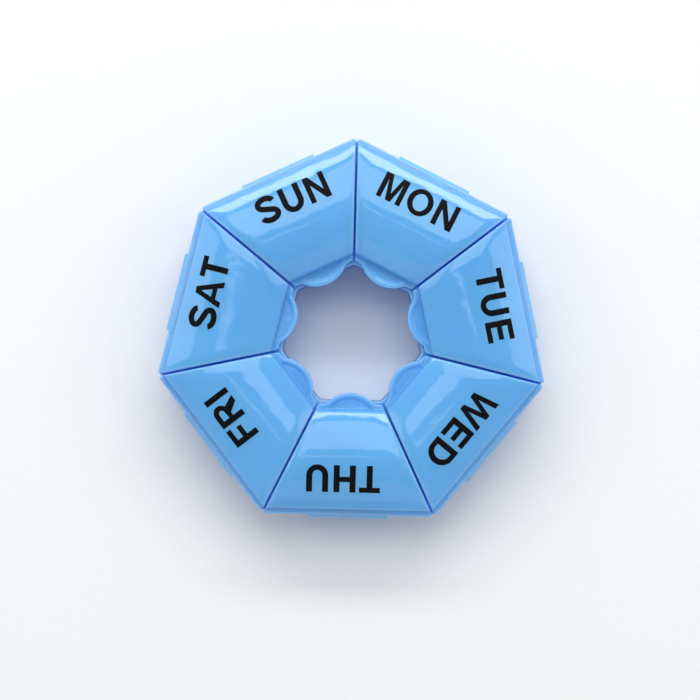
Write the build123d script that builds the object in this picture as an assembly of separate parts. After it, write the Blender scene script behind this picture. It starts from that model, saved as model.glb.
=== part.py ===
from build123d import *
import os
from math import cos, pi, radians, sqrt, tan

# Weekly pill organizer: a seven-sided ring of lidded compartments.
# All lengths are in millimetres. The ring's axis is +Z and its base lies on Z = 0.
# A reach is the distance from the ring's axis to a flat side, square to that side.

# The week, clockwise as seen from above
DAYS = ["sunday", "monday", "tuesday", "wednesday", "thursday", "friday", "saturday"]
SIDES = len(DAYS)
STEP = 360 / SIDES
MITRE = radians(STEP / 2)

# Tray
wall_reach = 43.25  # outer face of the tray's wall, at its top
wall_thickness = 1.5
wall_draft = 1.5  # degrees that the outer wall leans in towards the base
wall_corner = 1.0
hole_reach = 16.2  # face of the central hole
hole_wall_thickness = 1.5
hole_corner = 1.5
hole_edge_round = 0.45
tray_height = 16.0
floor_thickness = 1.5
partition_thickness = 2.4
pocket_corner = 3.0
pocket_floor_round = 2.5
foot_height = 0.8
foot_width = 2.2
foot_corner = 1.5
base_edge_round = 0.8

# Flanges that meet round the rim, the tray's in one strip and each lid's its own
flange_overhang = 1.6  # past the tray's wall
flange_thickness = 1.1
rim_corner = 9.0  # of the tray's flange
flange_corner = 0.5  # of a lid's flange
lid_gap = 0.7  # between neighbouring lids
seat_gap = 0.2  # between a closed lid and the tray's rim
edge_round = 0.35

# Lid
shoulder_setback = 0.8  # of the flange's inner edge, from the face of the central hole
shoulder_corner = 1.0
dome_outer_margin = 1.25  # from the flange's outer edge to the foot of the dome
dome_wall_height = 1.7
dome_wall_setback = 0.35  # of the top of the dome's inner and outer walls
dome_rise = 3.0
dome_inner_round = 1.4
dome_outer_round = 0.6
dome_foot_round = 0.5
lid_thickness = 1.2

# Thumb tab
tab_overhang = 1.95  # of the tab's tip, past the face of the central hole
tab_radius = 8.0
tab_neck_round = 1.0
tab_rim_width = 1.6
thumb_dish_depth = 0.72

# Catch: a lip under the lid, with a bead that sits below a bead on the compartment's inner wall
catch_length = 12.0
catch_gap = 0.5  # between the lip and the compartment's inner wall
catch_thickness = 1.2
catch_setback = 0.1  # of the dome's inner wall, from the lip's inner face
catch_depth = 2.4
catch_bead = 0.2
catch_bead_drop = 1.2  # of the wall's bead below the rim
catch_bead_pitch = 0.6  # from the wall's bead down to the lip's

# Living hinge, bent round in a half circle while the lid is shut
hinge_length = 19.6
hinge_bulge = 0.7  # past the flanges
hinge_thickness = 0.35

# Places worked out from the sizes above
flange_reach = wall_reach + flange_overhang
dome_outer_reach = flange_reach - dome_outer_margin
lid_bottom = tray_height + seat_gap
parting = tray_height + seat_gap / 2
flange_top = lid_bottom + flange_thickness
dome_edge_top = flange_top + dome_wall_height
dome_crown = dome_edge_top + dome_rise
pocket_floor = foot_height + floor_thickness
pocket_inner_reach = hole_reach + hole_wall_thickness
catch_reach = pocket_inner_reach + catch_gap
shoulder_reach = hole_reach + shoulder_setback
dome_inner_reach = catch_reach + catch_setback
tab_reach = hole_reach - tab_overhang
pocket_outer_reach = wall_reach - wall_thickness
base_reach = wall_reach - tray_height * tan(radians(wall_draft))
tab_centre = tab_reach + tab_radius
hinge_mid_radius = hinge_bulge - hinge_thickness / 2

# The pivot lies where the web is just pulled straight once as the lid swings over.
pivot_reach = flange_reach + hinge_mid_radius * sqrt((pi / 2) ** 2 - 1)

# A face counts as upright if its normal rises by less than this
upright_tolerance = 1e-6


def day_angle(index):
    """Direction of a day's side, in degrees from +X. The first day's is left of the corner at +Y."""
    return 90 + STEP / 2 - index * STEP


def half_width(reach, inset):
    """Half the width of one day's sector at a reach, kept inset from its mitre lines."""
    return reach * tan(MITRE) - inset / cos(MITRE)


def ring_outline(reach, corner):
    """The seven-sided outline round the ring's axis, with rounded corners."""
    tip = Vector(0, reach / cos(MITRE))
    points = [tip.rotate(Axis.Z, index * STEP) for index in range(SIDES)]
    outline = make_face(Polyline(points, close=True))
    return fillet(outline.vertices(), corner)


def sector_outline(inner, outer, inset, inner_corner=0.0, outer_corner=0.0):
    """One day's sector along +X: a trapezium with rounded corners."""
    near, far = half_width(inner, inset), half_width(outer, inset)
    corners = [(inner, -near), (outer, -far), (outer, far), (inner, near)]
    outline = make_face(Polyline(corners, close=True))
    for radius, pick in ((inner_corner, 0), (outer_corner, -1)):
        if radius:
            outline = fillet(outline.vertices().group_by(Axis.X)[pick], radius)
    return outline


def round_corner(outline, place, radius):
    """Rounds the corner of an outline that lies at a place."""
    corner = outline.vertices().sort_by_distance(place)[0]
    return fillet(corner, radius)


def make_pocket():
    """The hollow of one compartment along +X, with a rounded floor."""
    outline = sector_outline(
        pocket_inner_reach, pocket_outer_reach, partition_thickness / 2, pocket_corner, pocket_corner
    )
    hollow = Pos(0, 0, pocket_floor) * extrude(outline, amount=tray_height)
    return fillet(hollow.edges().group_by(Axis.Z)[0], pocket_floor_round)


def make_rim_flange():
    """The flange round the tray's rim, under the lids' outer flanges."""
    outline = ring_outline(flange_reach, rim_corner)
    outline -= ring_outline(wall_reach - wall_thickness / 2, wall_corner)
    return Pos(0, 0, tray_height - flange_thickness) * extrude(outline, amount=flange_thickness)


def make_catch_bead(reach, height):
    """A round bead along Y on a catch face."""
    return Pos(reach, 0, height) * Rot(90, 0, 0) * Cylinder(catch_bead, catch_length)


def make_tray():
    """The tray: wall, rim, seven compartments, catch beads, central hole and foot rims."""
    shell = extrude(ring_outline(wall_reach, wall_corner), amount=-tray_height, taper=wall_draft)
    shell = Pos(0, 0, tray_height) * shell
    shell = fillet(shell.edges().group_by(Axis.Z)[0], base_edge_round)
    hole = extrude(ring_outline(hole_reach, hole_corner), amount=tray_height)
    tray = shell - hole
    faces = tray.faces().sort_by(Axis.Z)
    mouths = faces[0].inner_wires()[0].edges() + faces[-1].inner_wires()[0].edges()
    tray = fillet(mouths, hole_edge_round)

    foot_ring = ring_outline(base_reach - foot_width, foot_corner)
    foot_ring -= ring_outline(hole_reach + foot_width, foot_corner)
    turns = [Rot(0, 0, day_angle(index)) for index in range(SIDES)]
    pocket = make_pocket()
    bead = make_catch_bead(pocket_inner_reach, tray_height - catch_bead_drop)
    tray += make_rim_flange()
    tray -= [turn * pocket for turn in turns] + [extrude(foot_ring, amount=foot_height)]
    return tray + [turn * bead for turn in turns]


def dome_section(base):
    """Section of a dome in its own plane, on base: points from its outer foot to its inner foot."""
    inner_top = (dome_inner_reach + dome_wall_setback, dome_edge_top)
    outer_top = (dome_outer_reach - dome_wall_setback, dome_edge_top)
    crown = ((inner_top[0] + outer_top[0]) / 2, dome_crown)
    sides = Polyline(outer_top, *base, inner_top)
    section = make_face(sides + ThreePointArc(inner_top, crown, outer_top))
    section = round_corner(section, inner_top, dome_inner_round)
    return round_corner(section, outer_top, dome_outer_round)


def lid_outline():
    """A lid seen from above, along +X: its flange with the round thumb tab."""
    outline = sector_outline(
        shoulder_reach, flange_reach, lid_gap / 2, shoulder_corner, flange_corner
    )
    outline += Pos(tab_centre, 0) * Circle(tab_radius)
    neck = sqrt(tab_radius**2 - (tab_centre - shoulder_reach) ** 2)
    for side in (-1, 1):
        outline = round_corner(outline, (shoulder_reach, side * neck), tab_neck_round)
    return outline


def top_rim(solid, foot):
    """Edges where a solid's upright faces meet its top, with those at its foot left out."""
    upright = [face for face in solid.faces() if abs(face.normal_at().Z) < upright_tolerance]
    around = [edge for face in upright for edge in face.edges()]
    return [edge for edge in solid.edges() if edge.center().Z > foot and around.count(edge) == 1]


def make_dish():
    """What the thumb dish takes out of the tab: the foot of a ball, up to the dome's wall."""
    dish_radius = tab_radius - tab_rim_width
    ball_radius = (dish_radius**2 + thumb_dish_depth**2) / (2 * thumb_dish_depth)
    ball = Pos(tab_centre, 0, flange_top - thumb_dish_depth + ball_radius) * Sphere(ball_radius)
    length = dome_inner_reach - tab_reach
    on_end = (Align.MAX, Align.CENTER, Align.CENTER)
    block = Box(length, 2 * dish_radius, 2 * thumb_dish_depth, align=on_end)
    return ball & Pos(dome_inner_reach, 0, flange_top) * block


def make_cavity():
    """The hollow under a lid's dome, one wall thickness inside it and open below."""
    low = lid_bottom - 2 * lid_thickness
    section = dome_section([(dome_outer_reach, low), (dome_inner_reach, low)])
    slab = extrude(Plane.XZ * offset(section, amount=-lid_thickness), amount=flange_reach, both=True)
    outline = sector_outline(shoulder_reach, flange_reach, lid_gap / 2 + lid_thickness)
    return slab & extrude(outline, amount=dome_crown)


def make_catch_lip():
    """The lip under a lid that reaches into its compartment, with its bead."""
    height = catch_depth + flange_thickness / 2
    block = Box(catch_thickness, catch_length, height, align=(Align.MIN, Align.CENTER, Align.MIN))
    lip = Pos(catch_reach, 0, lid_bottom - catch_depth) * block
    return lip + make_catch_bead(catch_reach, tray_height - catch_bead_drop - catch_bead_pitch)


def make_lid():
    """One lid along +X: hollow dome, flange, thumb tab with its dish, and catch lip."""
    inner_foot, outer_foot = (dome_inner_reach, flange_top), (dome_outer_reach, flange_top)
    beyond = 2 * flange_reach
    base = [outer_foot, (beyond, flange_top), (beyond, lid_bottom), (0, lid_bottom)]
    section = dome_section([*base, (0, flange_top), inner_foot])
    section = round_corner(section, outer_foot, dome_foot_round)
    slab = extrude(Plane.XZ * section, amount=flange_reach, both=True)
    column = Pos(0, 0, lid_bottom) * extrude(lid_outline(), amount=dome_crown)
    lid = slab & column
    lid = fillet(top_rim(lid, lid_bottom + edge_round), edge_round)
    return lid - make_dish() - make_cavity() + make_catch_lip()


def make_hinge():
    """One living hinge along +X: a thin web that bends round from the tray's flange to the lid's."""
    ring = Circle(hinge_bulge) - Circle(hinge_bulge - hinge_thickness)
    half = ring & Rectangle(hinge_bulge, 2 * hinge_bulge, align=(Align.MIN, Align.CENTER))
    web = extrude(Plane.XZ * half, amount=hinge_length / 2, both=True)
    return Pos(flange_reach, 0, parting) * web


os.makedirs("parts", exist_ok=True)
pieces = {"tray": make_tray()}
closed_lid, bent_hinge = make_lid(), make_hinge()
for index, day in enumerate(DAYS):
    turn = Rot(0, 0, day_angle(index))
    pieces[f"lid_{day}"] = turn * closed_lid
    pieces[f"hinge_{day}"] = turn * bent_hinge
for name, piece in pieces.items():
    export_step(piece, f"parts/{name}.step")
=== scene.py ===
"""Looks of a weekly pill organizer: a seven-sided ring of domed flip lids on living hinges."""

import logging
from collections.abc import Callable, Iterator
from contextlib import contextmanager
from dataclasses import dataclass
from enum import Enum
from math import cos, hypot, pi, radians, sin, sqrt, tan

import bmesh
import bpy
import numpy as np
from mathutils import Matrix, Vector

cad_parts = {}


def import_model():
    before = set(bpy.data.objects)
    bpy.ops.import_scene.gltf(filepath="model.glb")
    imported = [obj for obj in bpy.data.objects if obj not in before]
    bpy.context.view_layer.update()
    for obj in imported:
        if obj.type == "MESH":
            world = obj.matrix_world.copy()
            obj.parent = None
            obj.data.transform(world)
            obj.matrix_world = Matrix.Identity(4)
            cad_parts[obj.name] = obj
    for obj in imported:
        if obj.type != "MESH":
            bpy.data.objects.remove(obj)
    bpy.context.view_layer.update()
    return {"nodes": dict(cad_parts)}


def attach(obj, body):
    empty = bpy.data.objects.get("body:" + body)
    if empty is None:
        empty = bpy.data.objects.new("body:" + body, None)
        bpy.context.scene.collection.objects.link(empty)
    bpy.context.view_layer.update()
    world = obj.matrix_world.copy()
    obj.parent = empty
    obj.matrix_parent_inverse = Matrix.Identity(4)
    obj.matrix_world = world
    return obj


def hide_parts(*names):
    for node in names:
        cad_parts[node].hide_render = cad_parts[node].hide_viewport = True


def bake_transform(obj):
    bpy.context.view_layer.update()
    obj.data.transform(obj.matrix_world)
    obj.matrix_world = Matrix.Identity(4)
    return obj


log = logging.getLogger("pill_organizer")

MM = 0.001
WELD = 0.001 * MM
SIDES = 7
STEP = 2 * pi / SIDES
MITRE = STEP / 2
# Point attribute of painted edge highlights, a paler colour mixed into the plastic.
PAINTED_EDGE_HIGHLIGHT = "painted_edge_highlight"

Placing = Callable[[np.ndarray, np.ndarray], np.ndarray]


class Day(Enum):
    """The week, clockwise as seen from above, each day with the word printed on its lid."""

    SUNDAY = "SUN"
    MONDAY = "MON"
    TUESDAY = "TUE"
    WEDNESDAY = "WED"
    THURSDAY = "THU"
    FRIDAY = "FRI"
    SATURDAY = "SAT"

    @property
    def key(self) -> str:
        """The day's name as the frame's nodes and bodies spell it."""
        return self.name.lower()

    @property
    def angle(self) -> float:
        """Direction of the day's side from +X, in radians."""
        return pi / 2 + MITRE - list(Day).index(self) * STEP


@contextmanager
def editing(piece: bpy.types.Object) -> Iterator[bmesh.types.BMesh]:
    """Opens a piece in edit mode with nothing selected, and closes it again.

    Args:
        piece: The mesh object to edit.

    Returns:
        The piece's edit mesh, while the block runs.
    """
    pick(piece)
    bpy.ops.object.mode_set(mode="EDIT")
    bpy.ops.mesh.select_all(action="DESELECT")
    yield bmesh.from_edit_mesh(piece.data)
    bpy.ops.object.mode_set(mode="OBJECT")


def pick(*pieces: bpy.types.Object) -> None:
    """Selects these pieces alone and makes the first one active.

    Args:
        pieces: The objects to select.
    """
    bpy.ops.object.select_all(action="DESELECT")
    for piece in pieces:
        piece.select_set(True)
    bpy.context.view_layer.objects.active = pieces[0]


def merge(name: str, *pieces: bpy.types.Object) -> bpy.types.Object:
    """Joins pieces into one object.

    Args:
        name: The joined object's name.
        pieces: The objects to join; the first one stays.

    Returns:
        The joined object.
    """
    pick(*pieces)
    bpy.ops.object.join()
    pieces[0].name = pieces[0].data.name = name
    return pieces[0]


def smooth(piece: bpy.types.Object, degrees: float) -> None:
    """Shades a piece smooth, except across edges sharper than an angle, with flat faces kept flat.

    Args:
        piece: The mesh object to shade.
        degrees: The sharpest angle that is still smoothed.
    """
    pick(piece)
    bpy.ops.object.shade_smooth_by_angle(angle=radians(degrees))
    weighted = piece.modifiers.new("weighted normals", "WEIGHTED_NORMAL")
    weighted.keep_sharp = True
    bpy.ops.object.modifier_apply(modifier=weighted.name)


def turn_to(piece: bpy.types.Object, day: Day) -> None:
    """Turns a piece modelled along +X to a day's side, in its mesh.

    Args:
        piece: The mesh object, with its origin on the ring's axis.
        day: The day whose side it goes to.
    """
    piece.rotation_euler.z = day.angle
    pick(piece)
    bpy.ops.object.transform_apply(location=True, rotation=True, scale=True)


def copy_of(piece: bpy.types.Object, name: str) -> bpy.types.Object:
    """Copies a piece with its own mesh.

    Args:
        piece: The object to copy.
        name: The copy's name.

    Returns:
        The copy.
    """
    copy = piece.copy()
    copy.data = piece.data.copy()
    copy.name = copy.data.name = name
    bpy.context.scene.collection.objects.link(copy)
    return copy


def dress(piece: bpy.types.Object, finish: bpy.types.Material) -> None:
    """Gives a piece its material and logs its face count.

    Args:
        piece: The piece.
        finish: Its material.
    """
    piece.data.materials.clear()
    piece.data.materials.append(finish)
    log.info("%s: %d faces, %s", piece.name, len(piece.data.polygons), finish.name)


def formed_grid(name: str, columns: int, rows: int, place: Placing) -> bpy.types.Object:
    """Lays a grid primitive over a formed surface.

    Args:
        name: The object's name.
        columns: Points across.
        rows: Points along.
        place: Gives the points' places, as an array of x, y and z, from arrays of column and row.

    Returns:
        The grid as an object.
    """
    bpy.ops.object.select_all(action="DESELECT")
    bpy.ops.mesh.primitive_grid_add(x_subdivisions=columns - 1, y_subdivisions=rows - 1, size=2)
    grid = bpy.context.object
    grid.name = grid.data.name = name
    flat = np.empty(len(grid.data.vertices) * 3)
    grid.data.vertices.foreach_get("co", flat)
    flat = flat.reshape(-1, 3)
    column = np.rint((flat[:, 0] + 1) / 2 * (columns - 1)).astype(int)
    row = np.rint((flat[:, 1] + 1) / 2 * (rows - 1)).astype(int)
    grid.data.vertices.foreach_set("co", place(column, row).ravel())
    grid.data.update()
    return grid


def arc(centre: tuple[float, float], radius: float, start: float, end: float, steps: int) -> np.ndarray:
    """Points along an arc, each with the arc's outward direction.

    Args:
        centre: The arc's centre.
        radius: Its radius.
        start: Angle of its first point, in degrees.
        end: Angle of its last point, in degrees.
        steps: Stretches between its points.

    Returns:
        Rows of x, z, outward x and outward z.
    """
    angle = np.radians(np.linspace(start, end, steps + 1))
    out = np.column_stack([np.cos(angle), np.sin(angle)])
    return np.hstack([np.array(centre) + radius * out, out])


def round_over(inside: np.ndarray, radius: float) -> np.ndarray:
    """How far a rounded edge lies below the full corner, at distances inside it."""
    left = np.clip(radius - inside, 0, radius)
    return radius - np.sqrt(radius**2 - left**2)


def round_insets(radius: float, steps: int) -> np.ndarray:
    """Distances inside a rounded edge, from 0 to its radius, at even angles round it."""
    return radius * (1 - np.cos(np.linspace(0, pi / 2, steps + 1)))


@dataclass
class Lid:
    """A domed lid with a thumb tab, modelled along +X with the ring's axis at x = 0.

    A reach is a distance from the ring's axis along the lid's middle line. A line is where a painted
    highlight lies along an edge, as a distance inside the outline. Steps, columns, segments and sides
    only say how fine the mesh is, and the smooth angle is in degrees.
    """

    bottom: float = 16.2 * MM
    flange_thickness: float = 1.1 * MM
    flange_reach: float = 44.85 * MM
    flange_corner: float = 0.6 * MM
    shoulder_reach: float = 17.0 * MM
    shoulder_corner: float = 1.0 * MM
    half_gap: float = 0.23 * MM
    edge_round: float = 0.4 * MM
    underside_round: float = 0.15 * MM
    dome_inner_reach: float = 18.3 * MM
    dome_outer_reach: float = 43.6 * MM
    dome_wall_height: float = 1.7 * MM
    dome_wall_setback: float = 0.35 * MM
    dome_rise: float = 3.0 * MM
    dome_inner_round: float = 1.4 * MM
    dome_outer_round: float = 0.6 * MM
    inner_foot_round: float = 0.25 * MM
    outer_foot_round: float = 0.5 * MM
    pillow_width: float = 3.0 * MM
    pillow_drop: float = 0.5 * MM
    wall: float = 1.2 * MM
    cavity_round: float = 0.6 * MM
    tab_centre: float = 22.25 * MM
    tab_radius: float = 8.0 * MM
    tab_neck_blend: float = 0.35 * MM
    dish_radius: float = 7.1 * MM
    dish_depth: float = 0.4 * MM
    dish_edge: float = 0.9 * MM
    lip_reach: float = 18.2 * MM
    lip_length: float = 12.0 * MM
    lip_depth: float = 2.4 * MM
    lip_sunk: float = 0.4 * MM
    lip_round: float = 0.2 * MM
    bead_radius: float = 0.2 * MM
    bead_height: float = 14.2 * MM
    # Lines, widths and strengths of the painted edge highlights.
    side_line: float = 0.35 * MM
    side_line_width: float = 0.25 * MM
    side_highlight: float = 0.55
    outer_line: float = 0.1 * MM
    outer_line_width: float = 0.8 * MM
    outer_highlight: float = 0.9
    rim_line: float = 0.35 * MM
    ridge_line: float = 1.65 * MM
    wall_steps: int = 4
    bend_steps: int = 10
    crown_steps: int = 64
    edge_steps: int = 6
    strip_columns: int = 13
    middle_columns: int = 45
    tab_steps: int = 26
    flange_steps: int = 3
    inner_foot_steps: int = 4
    outer_foot_steps: int = 6
    cavity_strip_columns: int = 5
    cavity_middle_columns: int = 25
    underside_steps: int = 3
    lip_segments: int = 3
    bead_sides: int = 16
    halvings: int = 40
    search_margin: float = 1.1 * MM
    weld: float = 0.0005 * MM
    smooth_angle: float = 40

    @property
    def flange_top(self) -> float:
        """Height of the flange's upper face."""
        return self.bottom + self.flange_thickness

    @property
    def crown(self) -> tuple[float, float, float]:
        """The dome's arc.

        Returns:
            Reach and height of its centre, and its radius.
        """
        inner = self.dome_inner_reach + self.dome_wall_setback
        outer = self.dome_outer_reach - self.dome_wall_setback
        half = (outer - inner) / 2
        radius = (half**2 + self.dome_rise**2) / (2 * self.dome_rise)
        top = self.flange_top + self.dome_wall_height + self.dome_rise
        return (inner + outer) / 2, top - radius, radius

    def dome_height(self, reach: np.ndarray) -> np.ndarray:
        """Height of the dome's arc at a reach."""
        centre, base, radius = self.crown
        return base + np.sqrt(radius**2 - (reach - centre) ** 2)

    def half_width(self, reach: np.ndarray) -> np.ndarray:
        """Half the lid's width at a reach."""
        return reach * tan(MITRE) - self.half_gap / cos(MITRE)

    def arch(self, inset: float, inner_round: float, outer_round: float) -> np.ndarray:
        """Section of the dome from its inner foot to its outer foot, walls, rounds and crown.

        Args:
            inset: How far inside the dome's outer face the section lies.
            inner_round: Radius between the inner wall and the crown.
            outer_round: Radius between the crown and the outer wall.

        Returns:
            Rows of reach, height, outward x and outward z.
        """
        centre_x, centre_z, radius = self.crown
        radius -= inset
        lean = hypot(self.dome_wall_setback, self.dome_wall_height)
        halves = []
        for side, foot, edge in (
            (-1, self.dome_inner_reach + inset, inner_round),
            (1, self.dome_outer_reach - inset, outer_round),
        ):
            out = np.array([side * self.dome_wall_height, self.dome_wall_setback]) / lean
            up = np.array([-side * self.dome_wall_setback, self.dome_wall_height]) / lean
            low = np.array([foot, self.flange_top])
            start = low - edge * out
            gap = start - (centre_x, centre_z)
            along = -gap @ up + sqrt((gap @ up) ** 2 - gap @ gap + (radius - edge) ** 2)
            middle = start + along * up
            to_crown = middle - (centre_x, centre_z)
            wall_angle = np.degrees(np.arctan2(out[1], out[0])) % 360
            crown_angle = np.degrees(np.arctan2(to_crown[1], to_crown[0]))
            bend = arc(tuple(middle), edge, wall_angle, crown_angle, self.bend_steps)
            rise = np.linspace(0, 1, self.wall_steps + 1)[:-1, None]
            wall = np.hstack([low + rise * (bend[0, :2] - low), np.tile(out, (self.wall_steps, 1))])
            halves.append((np.vstack([wall, bend]), crown_angle))
        (inner, inner_angle), (outer, outer_angle) = halves
        top = arc((centre_x, centre_z), radius, inner_angle, outer_angle, self.crown_steps)[1:-1]
        return np.vstack([inner, top, outer[::-1]])

    def side_columns(self, edge: float, fine: int, middle: int) -> np.ndarray:
        """Columns of a grid across the lid, close together near both sides.

        Args:
            edge: Radius of the rounded side edge.
            fine: Columns between the rounded edge and the end of the pillowed strip.
            middle: Columns across the rest.

        Returns:
            Rows of slope, shift and side distance: y is slope * half_width + shift, and a side
            distance counts square to the side, up to the pillowed strip's width.
        """
        rounded = round_insets(edge, self.edge_steps)
        strip = np.linspace(edge, self.pillow_width, fine + 1)[1:]
        near = np.concatenate([rounded, strip])
        side = np.column_stack([np.ones_like(near), -near / cos(MITRE), near])
        share = np.linspace(1, -1, middle + 2)[1:-1]
        width = self.pillow_width
        between = np.column_stack([share, -share * width / cos(MITRE), np.full_like(share, width)])
        return np.vstack([side, between, side[::-1] * (-1, -1, 1)])

    def inner_edge(self, reach: np.ndarray, across: np.ndarray) -> np.ndarray:
        """Distance inside the lid's inner outline, the shoulders and the tab with rounded necks.

        Args:
            reach: Distances from the ring's axis.
            across: Distances from the lid's middle line.

        Returns:
            The distance of each point, negative outside.
        """
        shoulder = self.shoulder_reach - reach
        tab = np.hypot(reach - self.tab_centre, across) - self.tab_radius
        neck = self.tab_neck_blend
        blend = np.hypot(np.clip(neck - shoulder, 0, None), np.clip(neck - tab, 0, None))
        return blend - np.maximum(neck, np.minimum(shoulder, tab))

    def reach_at(self, distance: float, columns: np.ndarray) -> np.ndarray:
        """Reach at which each column lies a distance inside the inner outline, by halving.

        Args:
            distance: The distance inside.
            columns: The grid's columns.

        Returns:
            One reach for each column.
        """
        low = np.full(len(columns), self.tab_centre - self.tab_radius - self.search_margin)
        high = np.full(len(columns), self.dome_inner_reach)
        for _ in range(self.halvings):
            middle = (low + high) / 2
            across = columns[:, 0] * self.half_width(middle) + columns[:, 1]
            outside = self.inner_edge(middle, across) < distance
            low, high = np.where(outside, middle, low), np.where(outside, high, middle)
        return (low + high) / 2

    def round_corner(
        self, reach: np.ndarray, across: np.ndarray, tip_reach: float, radius: float, way: int
    ) -> tuple[np.ndarray, np.ndarray]:
        """Draws the points by two corners of the outline inside the arcs that round them off.

        Args:
            reach: Distances from the ring's axis.
            across: Distances from the lid's middle line.
            tip_reach: Reach of the full corners.
            radius: Radius of the arcs.
            way: 1 where the lid lies outwards of the corners, -1 where it lies inwards.

        Returns:
            The new reach and across.
        """
        tip = np.array([tip_reach, self.half_width(tip_reach)])
        edge, flank = np.array([0.0, -1.0]), way * np.array([cos(MITRE), sin(MITRE)])
        half_angle = np.arccos(edge @ flank) / 2
        length = radius / np.tan(half_angle)
        along_flank = (reach - tip[0]) / flank[0]
        along_edge = along_flank * flank[1] - (np.abs(across) - tip[1])
        edge_left, flank_left = length - along_edge, length - along_flank
        near = (edge_left > 0) & (flank_left > 0)
        out = -np.outer(edge_left[near], edge) - np.outer(flank_left[near], flank)
        far_corner = tip + length * (edge + flank)
        bisector = (edge + flank) / np.linalg.norm(edge + flank)
        gap = far_corner - tip - bisector * radius / np.sin(half_angle)
        unit = out / np.linalg.norm(out, axis=1)[:, None]
        to_arc = -unit @ gap + np.sqrt((unit @ gap) ** 2 - gap @ gap + radius**2)
        to_corner = np.linalg.norm(out, axis=1) * length / np.maximum(edge_left, flank_left)[near]
        moved = far_corner + out * (to_arc / to_corner)[:, None]
        reach, across = reach.copy(), across.copy()
        reach[near] = moved[:, 0]
        across[near] = moved[:, 1] * np.sign(across[near])
        return reach, across

    def dish(self, reach: np.ndarray, across: np.ndarray) -> np.ndarray:
        """Depth of the thumb dish below the flange's top, flat with a soft slope at its rim.

        Args:
            reach: Distances from the ring's axis.
            across: Distances from the lid's middle line.

        Returns:
            The depth at each point, zero outside the dish.
        """
        inside = self.dish_radius - np.hypot(reach - self.tab_centre, across)
        share = np.clip(inside / self.dish_edge, 0, 1)
        return self.dish_depth * share**2 * (3 - 2 * share)

    def pillow(self, edge: np.ndarray, lift: np.ndarray) -> np.ndarray:
        """How far the dome sinks near its sides, as a pillow does.

        Args:
            edge: Distances from the lid's nearer side.
            lift: Heights above the flange, as shares of the dome's wall.

        Returns:
            The drop at each point.
        """
        fade = np.clip(1 - edge / self.pillow_width, 0, 1) ** 2
        full = (self.dome_wall_height + self.dome_rise) / self.dome_wall_height
        return self.pillow_drop * fade * lift / full

    def dome_path(self) -> np.ndarray:
        """Section of the dome with the small rounds at its two feet.

        Returns:
            Rows of reach, height, outward x and outward z, from the tab's face to the flange's.
        """
        path = self.arch(0, self.dome_inner_round, self.dome_outer_round)
        foot, valley = self.inner_foot_round, self.outer_foot_round
        lean = np.arctan2(self.dome_wall_setback, self.dome_wall_height)
        tangent = 1 / tan((pi / 2 + lean) / 2)
        tilt = np.degrees(lean)
        start = (self.dome_inner_reach - foot * tangent, self.flange_top + foot)
        end = (self.dome_outer_reach + valley * tangent, self.flange_top + valley)
        hollow = arc(start, -foot, 90, 180 - tilt, self.inner_foot_steps)
        basin = arc(end, -valley, tilt, 90, self.outer_foot_steps)
        inner_half = np.arange(len(path)) < len(path) // 2
        above = np.where(inner_half, path[:, 1] > hollow[-1, 1], path[:, 1] > basin[0, 1])
        return np.vstack([hollow, path[above], basin])

    def tab_rows(self, columns: np.ndarray, end: float) -> np.ndarray:
        """Rows of the tab and the shoulders, from their rounded rim to the dome.

        Args:
            columns: The grid's columns.
            end: Reach at which the dome starts.

        Returns:
            The reach of each column in each row.
        """
        insets = round_insets(self.edge_round, self.edge_steps)
        rim = np.array([self.reach_at(inset, columns) for inset in insets])
        share = np.linspace(0, 1, self.tab_steps + 1)[1:-1, None]
        return np.vstack([rim, rim[-1] + share * (end - rim[-1])])

    def flange_rows(self, start: float) -> np.ndarray:
        """Rows of the outer flange, from the dome to its rounded edge.

        Args:
            start: Reach at which the dome ends.

        Returns:
            The reach of each row.
        """
        flat = np.linspace(start, self.flange_reach - self.edge_round, self.flange_steps + 1)[1:-1]
        insets = round_insets(self.edge_round, self.edge_steps)
        return np.concatenate([flat, self.flange_reach - insets[::-1]])

    def top_skin(self) -> bpy.types.Object:
        """The lid's whole upper face: tab, shoulders, dome and outer flange, with rounded edges.

        Returns:
            The open skin.
        """
        columns = self.side_columns(self.edge_round, self.strip_columns, self.middle_columns)
        slope, shift, side = columns.T
        path = self.dome_path()
        tab, flange = self.tab_rows(columns, path[0, 0]), self.flange_rows(path[-1, 0])
        dome_row = len(tab)
        flange_row = dome_row + len(path)

        def place(column: np.ndarray, row: np.ndarray) -> np.ndarray:
            """Places of the skin's points.

            Args:
                column: The points' columns.
                row: Their rows, first the tab's, then the dome's and the flange's.

            Returns:
                Rows of x, y and z.
            """
            in_tab, in_flange = row < dome_row, row >= flange_row
            in_dome = ~in_tab & ~in_flange
            point = path[row[in_dome] - dome_row]
            reach = np.empty(len(row))
            reach[in_tab] = tab[row[in_tab], column[in_tab]]
            reach[in_dome] = point[:, 0]
            reach[in_flange] = flange[row[in_flange] - flange_row]
            height = np.full(len(row), self.flange_top)
            height[in_dome] = point[:, 1]
            edge = side[column]

            drop = round_over(edge[in_dome], self.edge_round)
            reach[in_dome] -= point[:, 2] * drop
            height[in_dome] -= point[:, 3] * drop
            lift = np.clip((point[:, 1] - self.flange_top) / self.dome_wall_height, 0, None)
            height[in_dome] -= self.pillow(edge[in_dome], lift)

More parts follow.
